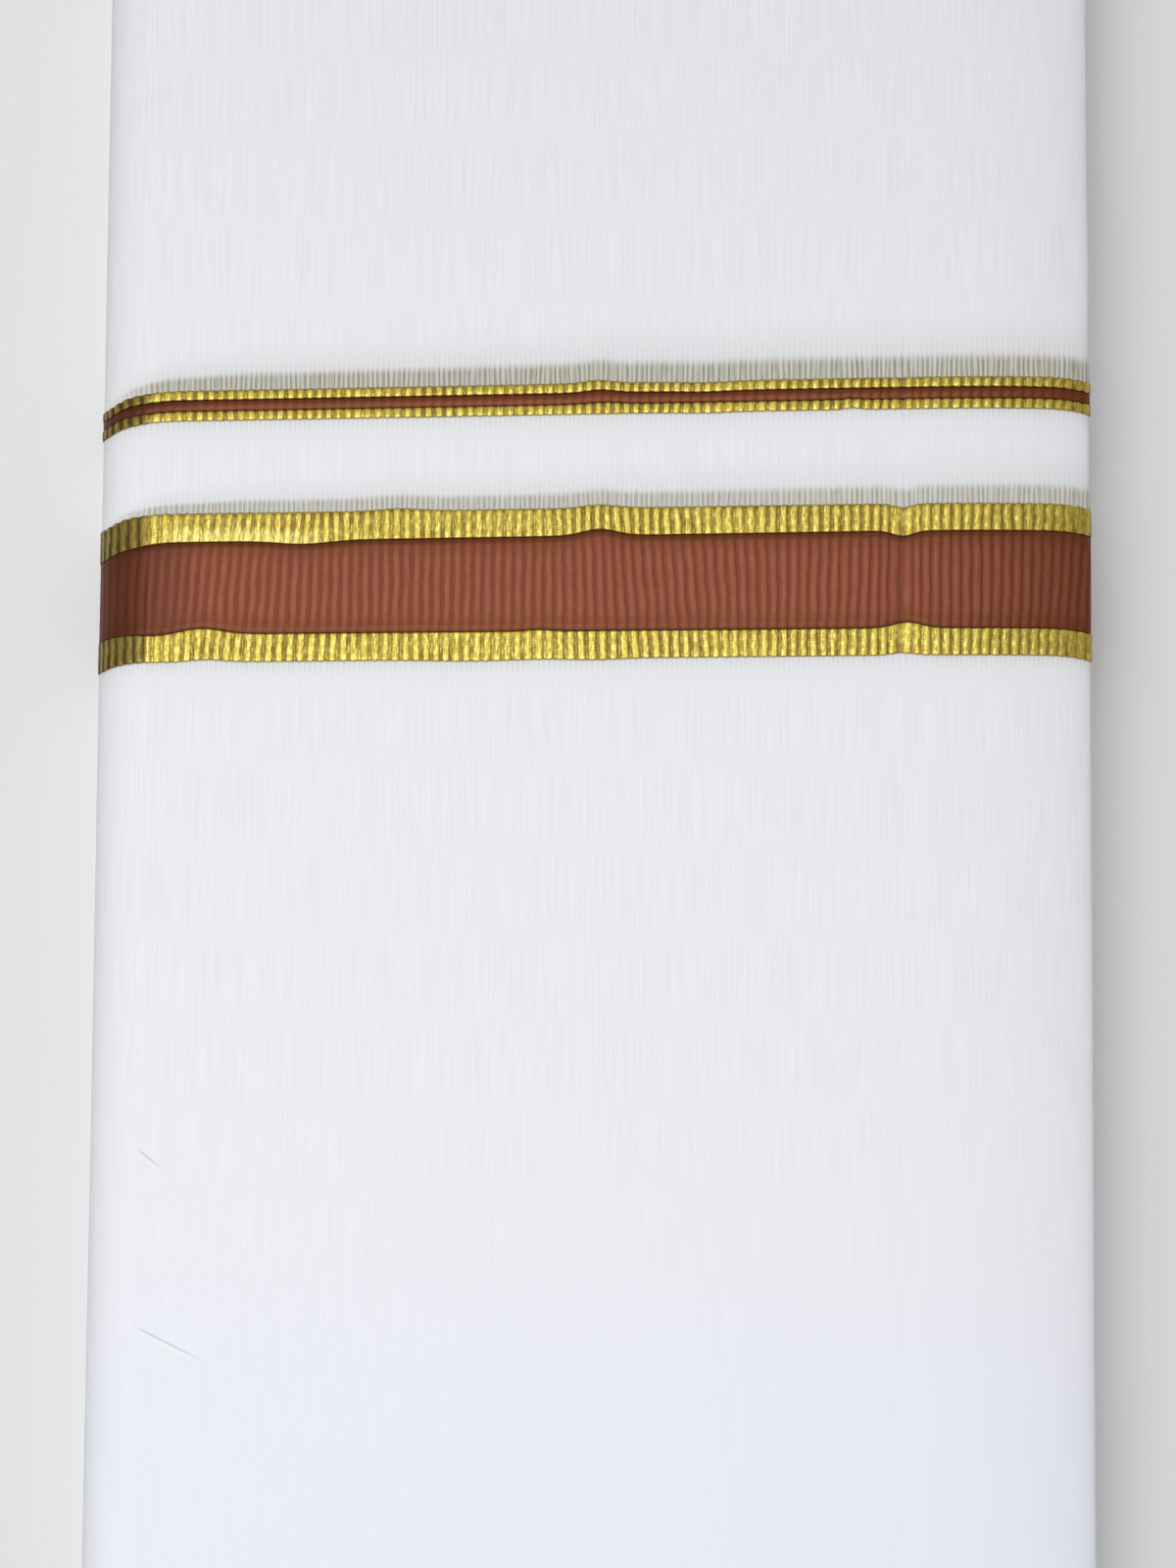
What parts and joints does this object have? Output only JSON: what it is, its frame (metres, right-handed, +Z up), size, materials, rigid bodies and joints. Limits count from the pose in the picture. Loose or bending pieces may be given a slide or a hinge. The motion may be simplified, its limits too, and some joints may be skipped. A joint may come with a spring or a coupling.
{
  "type": "folded dhoti cloth",
  "caption": "Men's wrap cloth of white cotton with brown and gold woven border bands, pressed and folded into a flat rectangular bundle that lies on a surface.",
  "frame": {"origin": "centre of the underside, on the surface that the bundle rests on", "axes": "+X from the book-like spine fold towards the open side with the two noses, +Y along the bundle from its long plain end towards the end beyond the narrow band, +Z up from the surface"},
  "size_m": [0.25, 0.4234, 0.024],
  "materials": {
    "white_cotton": "fine plain-woven bleached cotton, matt, slightly sheer, faint lines along the threads",
    "gold_zari": "ribbed metallic gold zari weave, glinting, olive in the grooves",
    "brown_border": "finely ribbed red-brown cotton weave, soft sheen"
  },
  "bodies": {
    "root": {"white_front": "white_cotton", "wide_gold_front": "gold_zari", "wide_brown": "brown_border", "wide_gold_back": "gold_zari", "white_between": "white_cotton", "narrow_gold_front": "gold_zari", "narrow_brown": "brown_border", "narrow_gold_back": "gold_zari", "white_back": "white_cotton", "hidden_layers": "white_cotton"}
  },
  "joints": []
}
